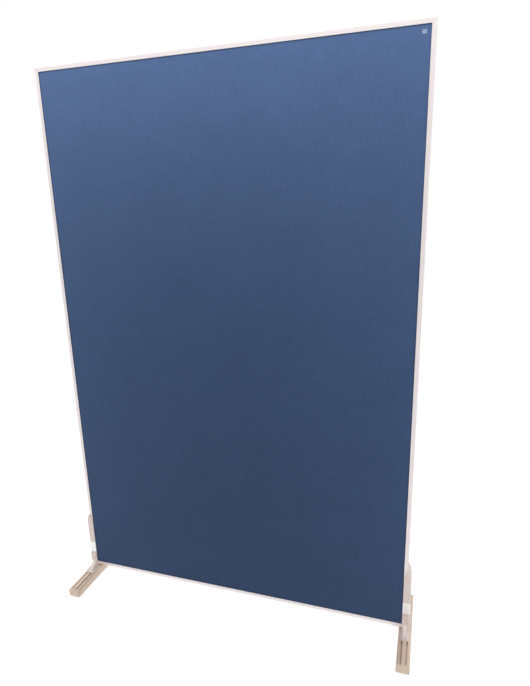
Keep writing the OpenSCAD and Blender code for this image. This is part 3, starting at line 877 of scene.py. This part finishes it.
class DIVIDER_OT_fasteners(bpy.types.Operator):
    """Finishes the screws, bolts and corner cleats"""

    bl_idname = "divider.finish_fasteners"
    bl_label = "Fasteners"

    def execute(self, context):
        steel = zinc_plated_steel(context.scene.divider_finishes)
        dress(steel, "side_screws", "shelf_screws", "foot_bolts", "corner_cleats")
        return {"FINISHED"}


def ray_kinds(tree):
    """Two values: 1 for the rays of the camera, and 1 for the rays of reflections and of glass."""
    ray = add_node(tree, "ShaderNodeLightPath").outputs
    mirrored = add_node(tree, "ShaderNodeMath", {0: ray["Is Glossy Ray"], 1: ray["Is Transmission Ray"]},
                        operation="MAXIMUM").outputs[0]
    return ray["Is Camera Ray"], mirrored


def white_floor(studio):
    """White studio vinyl: seen, it glows just enough to be white, so that only the shadow shows."""
    material, tree, place = new_material("white studio vinyl")
    scuffed_patch = 400 * MM
    tone = mottled(tree, studio.floor_tone[:], place, [scuffed_patch] * 3, 0.98, 1.02)
    paint = add_node(tree, "ShaderNodeBsdfDiffuse", {"Color": tone}).outputs[0]
    away = add_node(tree, "ShaderNodeVectorMath", {0: place}, operation="LENGTH").outputs["Value"]
    far = add_node(tree, "ShaderNodeMapRange",
                   {"Value": away, "From Min": studio.floor_near, "From Max": studio.floor_far},
                   interpolation_type="SMOOTHSTEP").outputs[0]
    glow = add_node(tree, "ShaderNodeEmission", {"Strength": studio.floor_glow}).outputs[0]
    near = add_node(tree, "ShaderNodeAddShader", {0: paint, 1: glow}).outputs[0]
    plain = add_node(tree, "ShaderNodeEmission", {"Strength": 1.0}).outputs[0]
    seen = add_node(tree, "ShaderNodeMixShader", {"Fac": far, 1: near, 2: plain}).outputs[0]
    camera, mirrored = ray_kinds(tree)
    lit = add_node(tree, "ShaderNodeMixShader", {"Fac": camera, 1: paint, 2: seen}).outputs[0]
    both = add_node(tree, "ShaderNodeMixShader", {"Fac": mirrored, 1: lit, 2: plain}).outputs[0]
    add_node(tree, "ShaderNodeOutputMaterial", {"Surface": both})
    return material


class DIVIDER_OT_studio(bpy.types.Operator):
    """Makes the floor, the lamps, the surroundings and the camera"""

    bl_idname = "divider.make_studio"
    bl_label = "Studio"

    def execute(self, context):
        scene, studio = context.scene, context.scene.divider_studio
        self.make_floor(scene, studio)
        self.make_lamps(scene, studio)
        self.make_world(scene, studio)
        self.make_camera(scene, studio)
        scene.view_settings.view_transform = "Standard"
        return {"FINISHED"}

    def make_floor(self, scene, studio):
        """A large flat floor under the glides."""
        mesh = bpy.data.meshes.new("studio_floor")
        shape = bmesh.new()
        cells = 8
        bmesh.ops.create_grid(shape, x_segments=cells, y_segments=cells, size=studio.floor_reach)
        shape.to_mesh(mesh)
        shape.free()
        mesh.materials.append(white_floor(studio))
        floor = bpy.data.objects.new("studio_floor", mesh)
        floor.location.z = CAD_BOX[0].z
        scene.collection.objects.link(floor)

    def make_lamps(self, scene, studio):
        """A wide lamp in front of the top edge, which leaves the cloth darker towards the floor, a weak one
        by each side edge and one behind. None shows by itself: metal reflects only the surroundings."""
        wide, tall = (studio.lamp_width, studio.lamp_height), (studio.side_width, studio.side_height)
        mirror = Vector((-1, 1, 1))
        lamps = (
            ("lamp_front", Vector(studio.front_lamp), Vector(studio.front_aim), wide, studio.front_power),
            ("lamp_right", Vector(studio.side_lamp), Vector(studio.side_aim), tall, studio.side_power),
            ("lamp_left", studio.side_lamp * mirror, studio.side_aim * mirror, tall, studio.side_power),
            ("lamp_back", Vector(studio.back_lamp), Vector(studio.back_aim), wide, studio.back_power),
        )
        for name, place, aim, size, watts in lamps:
            light = bpy.data.lights.new(name, "AREA")
            light.shape = "RECTANGLE"
            light.size, light.size_y = size
            light.energy = watts
            lamp = bpy.data.objects.new(name, light)
            lamp.location = place
            lamp.rotation_euler = (aim - place).to_track_quat("-Z", "Y").to_euler()
            lamp.visible_camera = False
            lamp.visible_glossy = False
            scene.collection.objects.link(lamp)

    def make_world(self, scene, studio):
        """Even light from all round, seen as white."""
        scene.world = bpy.data.worlds.new("white_surroundings")
        scene.world.use_nodes = True
        tree = scene.world.node_tree
        tree.nodes.clear()
        camera, mirrored = ray_kinds(tree)
        seen = add_node(tree, "ShaderNodeMath", {0: camera, 1: mirrored}, operation="MAXIMUM").outputs[0]
        strength = add_node(tree, "ShaderNodeMapRange",
                            {"Value": seen, "To Min": studio.ambient, "To Max": 1.0})
        light = add_node(tree, "ShaderNodeBackground", {"Color": linear("#ffffff"),
                                                        "Strength": strength.outputs[0]})
        add_node(tree, "ShaderNodeOutputWorld", {"Surface": light.outputs[0]})

    def make_camera(self, scene, studio):
        """The camera at the photograph's viewing angle."""
        data = bpy.data.cameras.new("camera")
        data.sensor_fit = "AUTO"
        data.sensor_width = FILM_SIDE
        data.lens = studio.lens
        camera = bpy.data.objects.new("camera", data)
        level = Vector((math.sin(studio.yaw), math.cos(studio.yaw), 0))
        view = level * math.cos(studio.pitch) + Vector((0, 0, math.sin(studio.pitch)))
        right = Vector((math.cos(studio.yaw), -math.sin(studio.yaw), 0))
        up = right.cross(view)
        leant_right = right * math.cos(studio.roll) + up * math.sin(studio.roll)
        leant_up = up * math.cos(studio.roll) - right * math.sin(studio.roll)
        turn = Matrix((leant_right, leant_up, -view)).transposed()
        camera.matrix_world = Matrix.Translation(studio.place) @ turn.to_4x4()
        scene.collection.objects.link(camera)
        scene.camera = camera


class DIVIDER_PT_panel(bpy.types.Panel):
    """Lists the steps that dress the divider screen"""

    bl_idname = "DIVIDER_PT_panel"
    bl_label = "Divider screen"
    bl_space_type = "VIEW_3D"
    bl_region_type = "UI"
    bl_category = "Divider screen"

    def draw(self, context):
        for operator in OPERATORS:
            self.layout.operator(operator.bl_idname)
        for name in SETTINGS:
            group = getattr(context.scene, name)
            box = self.layout.box()
            for entry in group.bl_rna.properties:
                if entry.identifier not in ("rna_type", "name"):
                    box.prop(group, entry.identifier)


SETTINGS = {
    "divider_covers": DIVIDER_PG_covers,
    "divider_label": DIVIDER_PG_label,
    "divider_finishes": DIVIDER_PG_finishes,
    "divider_glides": DIVIDER_PG_glides,
    "divider_studio": DIVIDER_PG_studio,
}
OPERATORS = (
    DIVIDER_OT_covers,
    DIVIDER_OT_label,
    DIVIDER_OT_frame,
    DIVIDER_OT_board,
    DIVIDER_OT_feet,
    DIVIDER_OT_fasteners,
    DIVIDER_OT_glides,
    DIVIDER_OT_studio,
)


def register():
    """Registers the settings, the operators and the panel."""
    for name, group in SETTINGS.items():
        bpy.utils.register_class(group)
        setattr(bpy.types.Scene, name, PointerProperty(type=group))
    for kind in (*OPERATORS, DIVIDER_PT_panel):
        bpy.utils.register_class(kind)


def unregister():
    """Takes away the panel, the operators and the settings."""
    for kind in (DIVIDER_PT_panel, *reversed(OPERATORS)):
        bpy.utils.unregister_class(kind)
    for name, group in reversed(SETTINGS.items()):
        delattr(bpy.types.Scene, name)
        bpy.utils.unregister_class(group)


def main():
    register()
    bpy.ops.divider.make_covers()
    bpy.ops.divider.make_label()
    bpy.ops.divider.finish_frame()
    bpy.ops.divider.finish_board()
    bpy.ops.divider.finish_feet()
    bpy.ops.divider.finish_fasteners()
    bpy.ops.divider.make_glides()
    bpy.ops.divider.make_studio()


if __name__ == "__main__":
    main()
